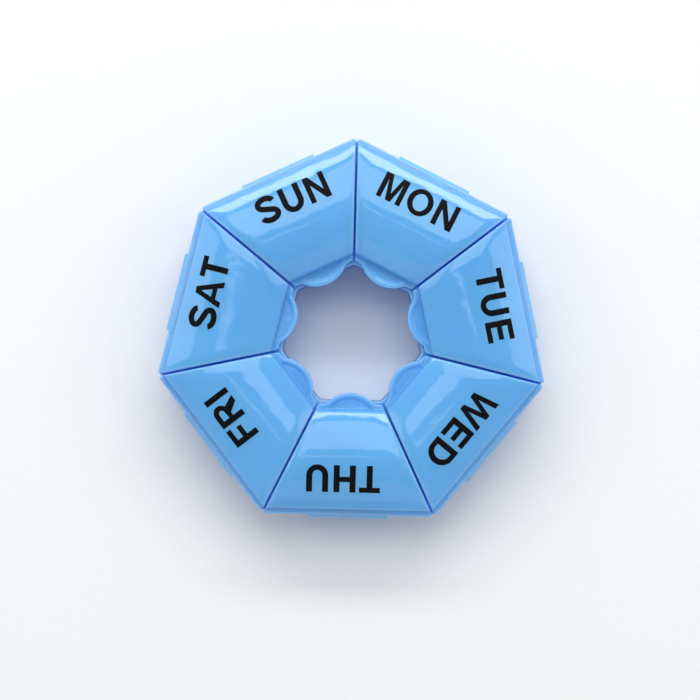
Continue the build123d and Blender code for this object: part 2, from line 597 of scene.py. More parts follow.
            across = slope[column] * self.half_width(reach) + shift[column]
            inside_tab = self.inner_edge(reach[in_tab], across[in_tab])
            inside_flange = self.flange_reach - reach[in_flange]
            for zone, inside, tip, radius, way in (
                (in_tab, inside_tab, self.shoulder_reach, self.shoulder_corner, 1),
                (in_flange, inside_flange, self.flange_reach, self.flange_corner, -1),
            ):
                height[zone] -= round_over(np.minimum(inside, edge[zone]), self.edge_round)
                reach[zone], across[zone] = self.round_corner(reach[zone], across[zone], tip, radius, way)
            sink = self.dish(reach, across)
            height[in_tab] -= sink[in_tab]
            at_foot = np.clip(1 - lift, 0, 1) * (point[:, 0] < self.tab_centre)
            height[in_dome] -= sink[in_dome] * at_foot
            return np.column_stack([reach, across, height])

        return formed_grid("lid_skin", len(columns), flange_row + len(flange), place)

    def cavity_skin(self) -> bpy.types.Object:
        """The hollow under the dome, one wall thickness inside it.

        Returns:
            The open skin, whose normals are made to agree with the shell's later.
        """
        radius = self.cavity_round
        columns = self.side_columns(radius, self.cavity_strip_columns, self.cavity_middle_columns)
        slope, shift, side = columns.T
        path = self.arch(self.wall, radius, radius)
        mouth = [path[0].copy(), path[-1].copy()]
        for point in mouth:
            point[1] = self.bottom
        path = np.vstack([mouth[0], path, mouth[1]])

        def place(column: np.ndarray, row: np.ndarray) -> np.ndarray:
            """Places of the skin's points.

            Args:
                column: The points' columns.
                row: Their rows, from the inner wall's foot to the outer wall's.

            Returns:
                Rows of x, y and z.
            """
            point = path[row]
            drop = round_over(side[column], radius)
            reach = point[:, 0] - point[:, 2] * drop
            height = point[:, 1] - point[:, 3] * drop * (point[:, 1] > self.bottom)
            width = self.half_width(reach) - self.wall / cos(MITRE)
            return np.column_stack([reach, slope[column] * width + shift[column], height])

        return formed_grid("lid_cavity", len(columns), len(path), place)

    def paint_edge_highlights(self, lid: bpy.types.Object) -> None:
        """Paints highlights of rounded edges as a paler colour: sides, outer flange, dome ridge, tab rim.

        Args:
            lid: The finished lid along +X.
        """
        flat = np.empty(len(lid.data.vertices) * 3)
        lid.data.vertices.foreach_get("co", flat)
        reach, across, height = flat.reshape(-1, 3).T
        across = np.abs(across)
        side = (self.half_width(reach) - across) * cos(MITRE)
        outer = self.flange_reach - reach
        painted_highlight = np.zeros(len(reach))
        # Painted highlight: a paler band along each edge, fading away from its line.
        for distance, line, width, strength in (
            (side, self.side_line, self.side_line_width, self.side_highlight),
            (outer, self.outer_line, self.outer_line_width, self.outer_highlight),
            (outer, self.ridge_line, self.side_line_width, self.side_highlight),
            (self.inner_edge(reach, across), self.rim_line, self.side_line_width, self.side_highlight),
        ):
            painted_highlight = np.maximum(painted_highlight, strength * np.exp(-(((distance - line) / width) ** 2)))
        painted_highlight[height < self.flange_top - self.edge_round] = 0
        marks = lid.data.attributes.new(PAINTED_EDGE_HIGHLIGHT, "FLOAT", "POINT")
        marks.data.foreach_set("value", painted_highlight)

    def drop_walls(self, skin: bpy.types.Object, rounded: bool) -> None:
        """Extrudes a skin's boundary down to the lid's underside.

        Args:
            skin: The open skin.
            rounded: Whether the walls end in a small round along the underside.
        """
        stops = [(self.bottom, 0.0)]
        if rounded:
            edge = self.underside_round
            angles = np.linspace(0, pi / 2, self.underside_steps + 1)
            stops = [
                (self.bottom + edge * (1 - sin(angle)), edge * (cos(last) - cos(angle)))
                for angle, last in zip(angles, np.concatenate([[0], angles[:-1]]))
            ]
        with editing(skin) as mesh:
            bpy.ops.mesh.select_mode(type="EDGE")
            bpy.ops.mesh.select_non_manifold(
                extend=False, use_wire=False, use_boundary=True, use_multi_face=False,
                use_non_contiguous=False, use_verts=False,
            )
            for height, inward in stops:
                bpy.ops.mesh.extrude_edges_move()
                for vertex in mesh.verts:
                    if vertex.select:
                        vertex.co.z = height
                if inward:
                    mesh.normal_update()
                    bpy.ops.transform.shrink_fatten(value=-inward)
                    for vertex in mesh.verts:
                        if vertex.select:
                            vertex.co.z = height
            bpy.ops.mesh.select_mode(type="VERT")
            bpy.ops.mesh.select_all(action="SELECT")
            bpy.ops.mesh.remove_doubles(threshold=self.weld)

    def catch_lip(self) -> bpy.types.Object:
        """The lip that reaches into the compartment, with its snap bead.

        Returns:
            The lip and the bead as one object, rooted in the lid's wall.
        """
        height = self.lip_depth + self.lip_sunk
        middle = (self.lip_reach + self.wall / 2, 0, self.bottom + self.lip_sunk - height / 2)
        bpy.ops.object.select_all(action="DESELECT")
        bpy.ops.mesh.primitive_cube_add(size=1, location=middle)
        lip = bpy.context.object
        lip.scale = (self.wall, self.lip_length, height)
        bpy.ops.object.transform_apply(location=True, rotation=True, scale=True)
        with editing(lip) as mesh:
            for face in mesh.faces:
                face.select = face.calc_center_median().z < middle[2]
            bpy.ops.mesh.bevel(offset=self.lip_round, segments=self.lip_segments, affect="EDGES")
        bpy.ops.object.select_all(action="DESELECT")
        bpy.ops.mesh.primitive_cylinder_add(
            vertices=self.bead_sides, radius=self.bead_radius,
            depth=self.lip_length - 2 * self.lip_round,
            location=(self.lip_reach, 0, self.bead_height), rotation=(pi / 2, 0, 0),
        )
        bead = bpy.context.object
        bpy.ops.object.transform_apply(location=True, rotation=True, scale=True)
        return merge("catch_lip", lip, bead)

    def model(self) -> bpy.types.Object:
        """Models one whole lid along +X.

        Returns:
            A closed shell with its catch lip, shaded, with its painted edge highlights marked.
        """
        skin, cavity = self.top_skin(), self.cavity_skin()
        self.drop_walls(skin, rounded=True)
        self.drop_walls(cavity, rounded=False)
        lid = merge("lid_model", skin, cavity)
        with editing(lid) as mesh:
            for edge in mesh.edges:
                edge.select = edge.is_boundary
            bpy.ops.mesh.fill(use_beauty=True)
            bpy.ops.mesh.select_all(action="SELECT")
            bpy.ops.mesh.normals_make_consistent(inside=False)
            open_edges = sum(1 for edge in mesh.edges if not edge.is_manifold)
        log.info("lid shell: %d open edges", open_edges)
        lid = merge("lid_model", lid, self.catch_lip())
        smooth(lid, self.smooth_angle)
        self.paint_edge_highlights(lid)
        return lid

    def fit(self, model: bpy.types.Object, day: Day, finish: bpy.types.Material) -> None:
        """Copies the lid to a day's side and puts the copy in its node's place.

        Args:
            model: The finished lid along +X.
            day: The lid's day.
            finish: Its material.
        """
        shell = copy_of(model, f"lid_shell_{day.key}")
        dress(shell, finish)
        turn_to(shell, day)
        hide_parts(f"lid_{day.key}")
        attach(shell, f"lid_{day.key}")


@dataclass
class HingeWeb:
    """A thin web that bends round in a half circle from the tray's flange to the lid's.

    Its parting is the height halfway between the two flanges. Angles are in degrees.
    """

    flange_reach: float = 44.85 * MM
    parting: float = 16.1 * MM
    bulge: float = 0.7 * MM
    thickness: float = 0.35 * MM
    length: float = 19.6 * MM
    rooted: float = 0.5 * MM
    edge_round: float = 0.08 * MM
    bend_steps: int = 20
    edge_segments: int = 2
    sharp_angle: float = 60
    side_tolerance: float = 0.01 * MM
    smooth_angle: float = 40

    def model(self) -> bpy.types.Object:
        """Models one web along +X.

        Returns:
            The web, spun round from a strip that starts inside the tray's flange.
        """
        start = (self.flange_reach - self.rooted, 0, self.parting - self.bulge + self.thickness / 2)
        bpy.ops.object.select_all(action="DESELECT")
        bpy.ops.mesh.primitive_plane_add(size=1, location=start, rotation=(0, pi / 2, 0))
        web = bpy.context.object
        web.scale = (self.thickness, self.length, 1)
        bpy.ops.object.transform_apply(location=True, rotation=True, scale=True)
        out, back = {"value": (self.rooted, 0, 0)}, {"value": (-self.rooted, 0, 0)}
        with editing(web) as mesh:
            bpy.ops.mesh.select_all(action="SELECT")
            bpy.ops.mesh.extrude_region_move(TRANSFORM_OT_translate=out)
            bpy.ops.mesh.spin(
                steps=self.bend_steps, angle=pi, axis=(0, 1, 0),
                center=(self.flange_reach, 0, self.parting),
            )
            bpy.ops.mesh.extrude_region_move(TRANSFORM_OT_translate=back)
            bpy.ops.mesh.select_all(action="SELECT")
            bpy.ops.mesh.remove_doubles(threshold=WELD)
            bpy.ops.mesh.normals_make_consistent(inside=False)
            bpy.ops.mesh.select_all(action="DESELECT")
            side = self.length / 2
            for edge in mesh.edges:
                sharp = edge.calc_face_angle(0) > radians(self.sharp_angle)
                ends = [abs(abs(vertex.co.y) - side) < self.side_tolerance for vertex in edge.verts]
                edge.select = sharp and all(ends)
            bpy.ops.mesh.bevel(offset=self.edge_round, segments=self.edge_segments, affect="EDGES")
        smooth(web, self.smooth_angle)
        return web

    def fit(self, model: bpy.types.Object, day: Day, finish: bpy.types.Material) -> None:
        """Copies the web to a day's side, where it bends between the tray and its lid.

        Args:
            model: The finished web along +X.
            day: The day of its lid.
            finish: Its material.
        """
        web = copy_of(model, f"hinge_web_{day.key}")
        dress(web, finish)
        turn_to(web, day)
        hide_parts(f"hinge_{day.key}")
        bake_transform(web)


@dataclass
class Tray:
    """The tray's moulding: the frame's own shape, with its sharp edges softened.

    Angles are in degrees.
    """

    edge_round: float = 0.15 * MM
    # Where the tray's painted edge highlight lies, and how strong it is.
    hole_edge: float = 17.0 * MM
    rim_edge: float = 44.0 * MM
    highlight_height: float = 15.0 * MM
    painted_edge_highlight: float = 0.8
    edge_segments: int = 2
    flat_angle: float = 0.5
    sharp_angle: float = 45
    smooth_angle: float = 35

    def model(self, node: bpy.types.Object) -> bpy.types.Object:
        """A refined copy of the tray's node.

        Args:
            node: The frame's tray, whose mesh stays as it is.

        Returns:
            The copy, merged to one closed mesh, with small rounds and smooth shading.
        """
        tray = bpy.data.objects.new("tray_moulding", node.data.copy())
        bpy.context.scene.collection.objects.link(tray)
        with editing(tray):
            bpy.ops.mesh.select_all(action="SELECT")
            bpy.ops.mesh.remove_doubles(threshold=WELD)
            bpy.ops.mesh.dissolve_limited(angle_limit=radians(self.flat_angle))
        bevel = tray.modifiers.new("edge rounds", "BEVEL")
        bevel.width, bevel.segments = self.edge_round, self.edge_segments
        bevel.limit_method, bevel.angle_limit = "ANGLE", radians(self.sharp_angle)
        bevel.harden_normals = False
        pick(tray)
        bpy.ops.object.modifier_apply(modifier=bevel.name)
        smooth(tray, self.smooth_angle)
        self.paint_edge_highlights(tray)
        return tray

    def paint_edge_highlights(self, tray: bpy.types.Object) -> None:
        """Paints a highlight as a paler colour round the hole and along the rim's outer edge.

        Args:
            tray: The finished tray.
        """
        flat = np.empty(len(tray.data.vertices) * 3)
        tray.data.vertices.foreach_get("co", flat)
        x, y, height = flat.reshape(-1, 3).T
        reach = np.max([x * cos(day.angle) + y * sin(day.angle) for day in Day], axis=0)
        # Painted highlight on the top of the hole's wall and of the outer rim.
        at_edge = ((reach < self.hole_edge) | (reach > self.rim_edge)) & (height > self.highlight_height)
        marks = tray.data.attributes.new(PAINTED_EDGE_HIGHLIGHT, "FLOAT", "POINT")
        marks.data.foreach_set("value", np.where(at_edge, self.painted_edge_highlight, 0))

    def fit(self, node: bpy.types.Object, finish: bpy.types.Material) -> None:
        """Builds the moulding and puts it in its node's place.

        Args:
            node: The frame's tray.
            finish: The moulding's material.
        """
        tray = self.model(node)
        dress(tray, finish)
        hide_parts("tray")
        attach(tray, "tray")


Outline = np.ndarray | list
CURVE_STEP = 8


def curve(
    centre: tuple[float, float], wide: float, high: float, start: float, end: float
) -> np.ndarray:
    """Points along a stretch of an ellipse.

    Args:
        centre: The ellipse's centre.
        wide: Half its width.
        high: Half its height.
        start: Angle of the first point, in degrees.
        end: Angle of the last point, in degrees.

    Returns:
        The points, about one for every eight degrees.
    """
    count = int(abs(end - start) / CURVE_STEP) + 1
    angle = np.radians(np.linspace(start, end, count))
    return np.column_stack([centre[0] + wide * np.cos(angle), centre[1] + high * np.sin(angle)])


class Lettering:
    """Bold plain capitals in units of their own height.

    Each letter has its own method, which draws it on its baseline with its left bearing at x = 0.
    Stems and bars are about a fifth of the height thick. A face is the inner side of a left stem,
    and a back the inner side of a right one.
    """

    STEM = 0.22
    BAR = 0.19
    ADVANCE = {
        "A": 0.98, "D": 1.01, "E": 0.93, "F": 0.85, "H": 1.01, "I": 0.39, "M": 1.16,
        "N": 1.01, "O": 1.08, "R": 1.01, "S": 0.93, "T": 0.83, "U": 1.01, "W": 1.31,
    }

    @classmethod
    def outlines(cls, letter: str) -> list[Outline]:
        """The closed outlines of a letter, as arrays of points."""
        return [np.array(points, float) for points in getattr(cls, f"letter_{letter.lower()}")()]

    @classmethod
    def letter_a(cls) -> list[Outline]:
        """Two legs that meet at a flat top, and a bar with an opening above it."""
        legs = [(0, 0), (.215, 0), (.285, .215), (.695, .215), (.765, 0), (.98, 0), (.6, 1), (.38, 1)]
        return [legs, [(.345, .385), (.635, .385), (.49, .79)]]

    @classmethod
    def letter_d(cls) -> list[Outline]:
        """A stem with a deep bowl.

        Returns:
            The outline and the bowl's opening.
        """
        left, right, stem, bar = .1, .95, cls.STEM, cls.BAR
        outer = curve((.46, .5), right - .46, .5, -90, 90)
        inner = curve((.44, .5), right - stem - .44, .5 - bar, -90, 90)
        opening = [(left + stem, bar), *inner, (left + stem, 1 - bar)]
        return [[(left, 0), *outer, (left, 1)], opening]

    @classmethod
    def letter_e(cls) -> list[Outline]:
        """A stem with three arms.

        Returns:
            The outline.
        """
        left, bar = .1, cls.BAR
        face = left + cls.STEM
        low, high = .5 - bar / 2 + .01, .5 + bar / 2 + .01
        return [[
            (left, 0), (.87, 0), (.87, bar), (face, bar), (face, low), (.81, low), (.81, high),
            (face, high), (face, 1 - bar), (.85, 1 - bar), (.85, 1), (left, 1),
        ]]

    @classmethod
    def letter_f(cls) -> list[Outline]:
        """A stem with two arms.

        Returns:
            The outline.
        """
        left, bar = .1, cls.BAR
        face = left + cls.STEM
        low, high = .5 - bar / 2 - .02, .5 + bar / 2 - .02
        return [[
            (left, 0), (face, 0), (face, low), (.74, low), (.74, high), (face, high),
            (face, 1 - bar), (.81, 1 - bar), (.81, 1), (left, 1),
        ]]

    @classmethod
    def letter_h(cls) -> list[Outline]:
        """Two stems and a bar.

        Returns:
            The outline.
        """
        left, right = .1, .91
        face, back = left + cls.STEM, right - cls.STEM
        low, high = .5 - cls.BAR / 2 + .02, .5 + cls.BAR / 2 + .02
        return [[
            (left, 0), (face, 0), (face, low), (back, low), (back, 0), (right, 0),
            (right, 1), (back, 1), (back, high), (face, high), (face, 1), (left, 1),
        ]]

    @classmethod
    def letter_i(cls) -> list[Outline]:
        """A stem."""
        return [[(.095, 0), (.095 + cls.STEM, 0), (.095 + cls.STEM, 1), (.095, 1)]]

    @classmethod
    def letter_m(cls) -> list[Outline]:
        """Two stems with a pointed valley between them.

        Returns:
            The outline.
        """
        left, right, stem, middle = .1, 1.06, .19, .58
        face, back = left + stem, right - stem
        return [[
            (left, 0), (face, 0), (face, .76), (middle - .1, 0), (middle + .1, 0), (back, .76),
            (back, 0), (right, 0), (right, 1), (right - .285, 1), (middle, .3), (left + .285, 1),
            (left, 1),
        ]]

    @classmethod
    def letter_n(cls) -> list[Outline]:
        """Two stems and a falling stroke.

        Returns:
            The outline.
        """
        left, right, stem = .1, .91, .195
        face, back = left + stem, right - stem
        return [[
            (left, 0), (face, 0), (face, .66), (back - .015, 0), (right, 0),
            (right, 1), (back, 1), (back, .34), (face + .015, 1), (left, 1),
        ]]

    @classmethod
    def letter_o(cls) -> list[Outline]:
        """A ring, nearly round."""
        return [curve((.54, .5), .485, .515, 0, 352), curve((.54, .5), .275, .335, 0, 352)]

    @classmethod
    def letter_r(cls) -> list[Outline]:
        """A stem with a bowl above a leg.

        Returns:
            The outline and the bowl's opening.
        """
        left, top = .1, 1 - cls.BAR
        face = left + cls.STEM
        bowl = curve((.6, .71), .32, .29, -62, 90)
        leg = [(left, 0), (face, 0), (face, .385), (.455, .385), (.7, 0), (.96, 0)]
        inner = curve((.58, .695), .14, top - .695, -90, 90)
        return [[*leg, *bowl, (left, 1)], [(face, .56), *inner, (face, top)]]

    @classmethod
    def letter_s(cls) -> list[Outline]:
        """One stroke that bends back on itself, of even width.

        Returns:
            The outline, along one side and back.
        """
        upper = curve((.46, .725), .3, .19, 10, 235)
        lower = curve((.475, .275), .31, .19, 55, -170)
        line, half_stroke = np.vstack([upper, lower]), .105
        run = np.gradient(line, axis=0)
        square = np.column_stack([-run[:, 1], run[:, 0]])
        across = square / np.hypot(*run.T)[:, None] * half_stroke
        return [np.vstack([line + across, (line - across)[::-1]])]

    @classmethod
    def letter_t(cls) -> list[Outline]:
        """A bar on a stem.

        Returns:
            The outline.
        """
        low, middle, half = 1 - cls.BAR, .415, cls.STEM / 2
        return [[
            (middle - half, 0), (middle + half, 0), (middle + half, low), (.8, low), (.8, 1),
            (.03, 1), (.03, low), (middle - half, low),
        ]]

    @classmethod
    def letter_u(cls) -> list[Outline]:
        """Two stems joined by a round foot.

        Returns:
            The outline.
        """
        left, right, stem = .1, .91, cls.STEM
        middle = (left + right) / 2
        outer = curve((middle, .39), right - middle, .405, -180, 0)
        inner = curve((middle, .39), right - stem - middle, .405 - cls.BAR - .01, 0, -180)
        return [[(left, 1), *outer, (right, 1), (right - stem, 1), *inner, (left + stem, 1)]]

    @classmethod
    def letter_w(cls) -> list[Outline]:
        """Four slanted strokes.

        Returns:
            The outline.
        """
        return [[
            (.01, 1), (.215, 1), (.37, .3), (.555, 1), (.755, 1), (.94, .3), (1.095, 1), (1.3, 1),
            (1.045, 0), (.84, 0), (.655, .7), (.47, 0), (.265, 0),
        ]]


@dataclass
class DayPrint:
    """The day's name printed on a lid, the tops of its letters towards the hinge."""

    lid: Lid
    letter_height: float = 6.75 * MM
    ink_thickness: float = 0.03 * MM
    ink_sunk: float = 0.05 * MM
    slice_width: float = 0.5 * MM
    smooth_angle: float = 30

    def place(self, day: Day) -> tuple[float, float]:
        """Place of a word, which differs a little from lid to lid.

        Args:
            day: The word's day.

        Returns:
            Reach of its foot, and how far its middle stands off the lid's middle line.
        """
        reach, across = {
            Day.SUNDAY: (33.9, -0.5),
            Day.MONDAY: (33.8, 0.5),
            Day.TUESDAY: (32.8, 0.3),
            Day.WEDNESDAY: (32.2, -0.4),
            Day.THURSDAY: (32.2, -1.4),
            Day.FRIDAY: (32.8, -2.0),
            Day.SATURDAY: (33.8, -1.5),
        }[day]
        return reach * MM, across * MM

    def flat_word(self, day: Day) -> bpy.types.Object:
        """A word as a thin flat slab in the XY plane, its middle at x = 0.

        Args:
            day: The day to spell.

        Returns:
            The slab as a mesh object.
        """
        shape = bpy.data.curves.new(f"print_{day.key}", "CURVE")
        shape.dimensions, shape.fill_mode, shape.extrude = "2D", "BOTH", self.ink_thickness
        pen = 0.0
        for letter in day.value:
            for outline in Lettering.outlines(letter):
                spline = shape.splines.new("POLY")
                spline.points.add(len(outline) - 1)
                for point, (x, y) in zip(spline.points, outline):
                    point.co = ((pen + x) * self.letter_height, y * self.letter_height, 0, 1)
                spline.use_cyclic_u = True
            pen += Lettering.ADVANCE[letter]
        word = bpy.data.objects.new(shape.name, shape)
        bpy.context.scene.collection.objects.link(word)
        pick(word)
        bpy.ops.object.convert(target="MESH")
        word = bpy.context.object
        xs = [vertex.co.x for vertex in word.data.vertices]
        word.location.x = -(min(xs) + max(xs)) / 2
        bpy.ops.object.transform_apply(location=True, rotation=True, scale=True)
        return word

    def model(self, day: Day) -> bpy.types.Object:
        """A word draped over the dome, along +X.

        Args:
            day: The day to spell.

        Returns:
            The word, a thin closed slab just proud of the lid.
        """
        word = self.flat_word(day)
        foot, across = self.place(day)
        word.rotation_euler.z = -pi / 2
        word.location = (foot, across, 0)
        pick(word)
        bpy.ops.object.transform_apply(location=True, rotation=True, scale=True)
        with editing(word) as mesh:
            bpy.ops.mesh.select_all(action="SELECT")
            bpy.ops.mesh.remove_doubles(threshold=WELD)
            first, last = foot + self.slice_width / 2, foot + self.letter_height
            for cut in np.arange(first, last, self.slice_width):
                bpy.ops.mesh.select_all(action="SELECT")
                bpy.ops.mesh.bisect(plane_co=(cut, 0, 0), plane_no=(1, 0, 0))
            for vertex in mesh.verts:
                proud = self.ink_thickness if vertex.co.z > 0 else -self.ink_sunk
                vertex.co.z = self.lid.dome_height(vertex.co.x) + proud
            bpy.ops.mesh.select_all(action="SELECT")
            bpy.ops.mesh.normals_make_consistent(inside=False)
        smooth(word, self.smooth_angle)
        return word

    def fit(self, day: Day, finish: bpy.types.Material) -> None:
        """Prints a day's word on its lid.

        Args:
            day: The day to spell.
            finish: The ink's material.
        """
        word = self.model(day)
        dress(word, finish)
        turn_to(word, day)
        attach(word, f"lid_{day.key}")


Colour = tuple[float, float, float]
Feed = bpy.types.NodeSocket | float | tuple


def opaque(colour: Colour, share: float = 1.0) -> tuple[float, float, float, float]:
    """A colour times a share, up to full strength, with alpha for a socket."""
    return (*(min(1.0, channel * share) for channel in colour), 1)


class Nodes:
    """Builds a material's nodes, each with its values, and links them.

    Noise mostly keeps to NOISE_RANGE. A Mix node's two colours are its inputs MIX_FIRST and
    MIX_SECOND, and the mixed colour is its output MIX_RESULT.
    """

    NOISE_RANGE = (0.3, 0.7)
    MIX_FIRST, MIX_SECOND, MIX_RESULT = 6, 7, 2

    def __init__(self, name: str) -> None:
        """Starts a material.

        Args:
            name: The material's name.
        """
        self.material = bpy.data.materials.new(name)
        self.material.use_nodes = True
        self.tree = self.material.node_tree
        self.shader = self.tree.nodes["Principled BSDF"]
        self.place = self.add("ShaderNodeTexCoord").outputs["Object"]

    def add(
        self, kind: str, values: dict[str | int, Feed] | None = None, **settings: str
    ) -> bpy.types.Node:
        """Adds a node.

        Args:
            kind: The node's type.
            values: Values or linked outputs for its inputs, by name or number.
            settings: Its own settings.

        Returns:
            The node.
        """
        node = self.tree.nodes.new(kind)
        for key, value in settings.items():
            setattr(node, key, value)
        for key, value in (values or {}).items():
            self.feed(node.inputs[key], value)
        return node

    def feed(self, socket: bpy.types.NodeSocket, value: Feed) -> None:
        """Links an output to an input, or sets the input to a plain value.

        Args:
            socket: The input.
            value: The output or the value.
        """
        if isinstance(value, bpy.types.NodeSocket):
            self.tree.links.new(value, socket)
        else:
            socket.default_value = value

    def noise(self, size: float, detail: float = 2.0) -> bpy.types.NodeSocket:
        """A noise pattern whose blobs are about a size, in metres."""
        values = {"Vector": self.place, "Scale": 1 / size, "Detail": detail}
        return self.add("ShaderNodeTexNoise", values).outputs[0]

    def between(self, pattern: bpy.types.NodeSocket, low: float, high: float) -> bpy.types.NodeSocket:
        """Spreads the range that noise mostly keeps to from one value to another.

        Args:
            pattern: The noise pattern.
            low: Value at the range's low end.
            high: Value at its high end.

        Returns:
            The new pattern.
        """
        start, end = self.NOISE_RANGE
        values = {"Value": pattern, "From Min": start, "From Max": end, "To Min": low, "To Max": high}
        return self.add("ShaderNodeMapRange", values).outputs[0]

    def mix(self, factor: Feed, first: Feed, second: Feed) -> bpy.types.NodeSocket:
        """Mixes two colours, the factor being the second one's share."""
        values = {0: factor, self.MIX_FIRST: first, self.MIX_SECOND: second}
        return self.add("ShaderNodeMix", values, data_type="RGBA").outputs[self.MIX_RESULT]

    def bump(
        self, height: bpy.types.NodeSocket, depth: float, under: bpy.types.NodeSocket | None = None
    ) -> bpy.types.NodeSocket:
        """Turns a pattern into a surface relief.

        Args:
            height: The pattern.
            depth: The relief's depth, in metres.
            under: Another relief, which this one lies on.

        Returns:
            The relief as a normal.
        """
        values = {"Height": height, "Distance": depth, "Strength": 1.0}
        if under is not None:
            values["Normal"] = under
        return self.add("ShaderNodeBump", values).outputs[0]

    def math(self, operation: str, first: Feed, second: Feed) -> bpy.types.NodeSocket:
        """The result of a sum or a comparison of two values."""
        return self.add("ShaderNodeMath", {0: first, 1: second}, operation=operation).outputs[0]

    def specks(self, spacing: float, radius: float, share: float) -> bpy.types.NodeSocket:
        """Sparse round specks: one where a speck is, zero elsewhere.

        Args:
            spacing: Distance between the places where a speck may be.
            radius: A speck's radius.
            share: Share of the places that have one.

        Returns:
            The pattern.
        """
        cells = self.add("ShaderNodeTexVoronoi", {"Vector": self.place, "Scale": 1 / spacing})
        near = self.math("LESS_THAN", cells.outputs["Distance"], radius / spacing)
        draw = self.add("ShaderNodeSeparateColor", {"Color": cells.outputs["Color"]}).outputs[0]
        return self.math("MULTIPLY", near, self.math("LESS_THAN", draw, share))


@dataclass(frozen=True)
class MouldedPlastic:
    """Glossy coloured plastic that lets some light through, fresh from a polished mould."""

    name: str
    colour: Colour
    roughness: float
    light_through: Colour = (0.0, 0.35, 1.0)
    through_share: float = 0.42
    cloud_size: float = 22 * MM
    cloud_darker: float = 0.93
    cloud_paler: float = 1.03
    speck_spacing: float = 4.5 * MM
    speck_radius: float = 0.11 * MM
    speck_share: float = 0.05
    speck_shade: float = 0.3
    # Colour of the painted edge highlights.
    painted_highlight_colour: Colour = (0.42, 0.8, 1.0)
    scuff_size: float = 3.0 * MM
    scuff_glossy: float = 0.85
    scuff_dull: float = 1.2
    wave: float = 0.09 * MM
    wave_size: float = 7.0 * MM
    ripple: float = 0.045 * MM
    ripple_size: float = 3.0 * MM
    grain: float = 0.0006 * MM
    grain_size: float = 0.5 * MM
    ior: float = 1.49
    gloss: float = 0.5
    subsurface: float = 0.3
    subsurface_radius: Colour = (0.35, 0.7, 1.0)
    subsurface_depth: float = 0.5 * MM

    def build(self) -> bpy.types.Material:
        """Makes the finish.

        Returns:
            The material: clouded colour with specks and painted edge highlights, uneven gloss, the relief
                of
            a moulded wall, and a share of light that passes through it.
        """
        nodes = Nodes(self.name)
        sockets = nodes.shader.inputs
        deep, pale = opaque(self.colour, self.cloud_darker), opaque(self.colour, self.cloud_paler)
        cloud = nodes.mix(nodes.between(nodes.noise(self.cloud_size), 0, 1), deep, pale)
        specks = nodes.specks(self.speck_spacing, self.speck_radius, self.speck_share)
        speckled = nodes.mix(specks, cloud, opaque(self.colour, self.speck_shade))
        # Painted highlight: the paler colour mixed in where the edge attribute is set.
        edge = nodes.add("ShaderNodeAttribute", attribute_name=PAINTED_EDGE_HIGHLIGHT).outputs["Fac"]
        nodes.feed(sockets["Base Color"], nodes.mix(edge, speckled, opaque(self.painted_highlight_colour)))

        glossy, dull = self.roughness * self.scuff_glossy, self.roughness * self.scuff_dull
        scuffs = nodes.noise(self.scuff_size, detail=5)
        nodes.feed(sockets["Roughness"], nodes.between(scuffs, glossy, dull))
        relief = nodes.bump(nodes.noise(self.wave_size, detail=1), self.wave)
        relief = nodes.bump(nodes.noise(self.ripple_size, detail=1), self.ripple, relief)
        relief = nodes.bump(nodes.noise(self.grain_size), self.grain, relief)
        nodes.feed(sockets["Normal"], relief)

        sockets["IOR"].default_value = self.ior
        sockets["Specular IOR Level"].default_value = self.gloss / (1 - self.through_share)
        sockets["Subsurface Weight"].default_value = self.subsurface
        sockets["Subsurface Radius"].default_value = self.subsurface_radius
        sockets["Subsurface Scale"].default_value = self.subsurface_depth
        light = {"Color": opaque(self.light_through), "Normal": relief}
        through = nodes.add("ShaderNodeBsdfTranslucent", light).outputs[0]
        shares = {0: self.through_share, 1: nodes.shader.outputs[0], 2: through}
        both = nodes.add("ShaderNodeMixShader", shares).outputs[0]
        nodes.feed(nodes.tree.nodes["Material Output"].inputs["Surface"], both)
        nodes.material.diffuse_color = opaque(self.colour)
        return nodes.material


LID_PLASTIC = MouldedPlastic("lid_plastic", colour=(0.2, 0.64, 0.99), roughness=0.07)
# The tray is the lids' plastic; its deeper blue is painted shade that deepens the gaps between the lids.
TRAY_PLASTIC = MouldedPlastic(
    "tray_plastic", colour=(0.12, 0.57, 0.99), roughness=0.2, through_share=0.45
)
WEB_PLASTIC = MouldedPlastic("hinge_plastic", colour=(0.3, 0.75, 0.99), roughness=0.3)


@dataclass(frozen=True)
class Ink:
    """Black pad-printed ink, a little less glossy than the plastic under it."""

    name: str = "black_ink"
    colour: Colour = (0.004, 0.004, 0.005)
    lighter: float = 1.8
    blotch_size: float = 1.2 * MM
    roughness: float = 0.42
    roughness_spread: float = 0.15
    wave: float = 0.05 * MM
    wave_size: float = 7.0 * MM
    grain: float = 0.003 * MM
    grain_size: float = 0.25 * MM
    gloss: float = 0.035

    def build(self) -> bpy.types.Material:
        """Makes the finish.

        Returns:
            The material: blotchy black with an uneven gloss, over the plastic's own waves.
        """
        nodes = Nodes(self.name)
        sockets = nodes.shader.inputs
        shade = nodes.between(nodes.noise(self.blotch_size, detail=4), 0, 1)
        black, lighter = opaque(self.colour), opaque(self.colour, self.lighter)
        nodes.feed(sockets["Base Color"], nodes.mix(shade, black, lighter))
        glossy, dull = (self.roughness * (1 + way * self.roughness_spread) for way in (-1, 1))
        nodes.feed(sockets["Roughness"], nodes.between(shade, glossy, dull))
        waves = nodes.bump(nodes.noise(self.wave_size, detail=1), self.wave)
        relief = nodes.bump(nodes.noise(self.grain_size, detail=3), self.grain, waves)
        nodes.feed(sockets["Normal"], relief)
        sockets["Specular IOR Level"].default_value = self.gloss
        return nodes.material


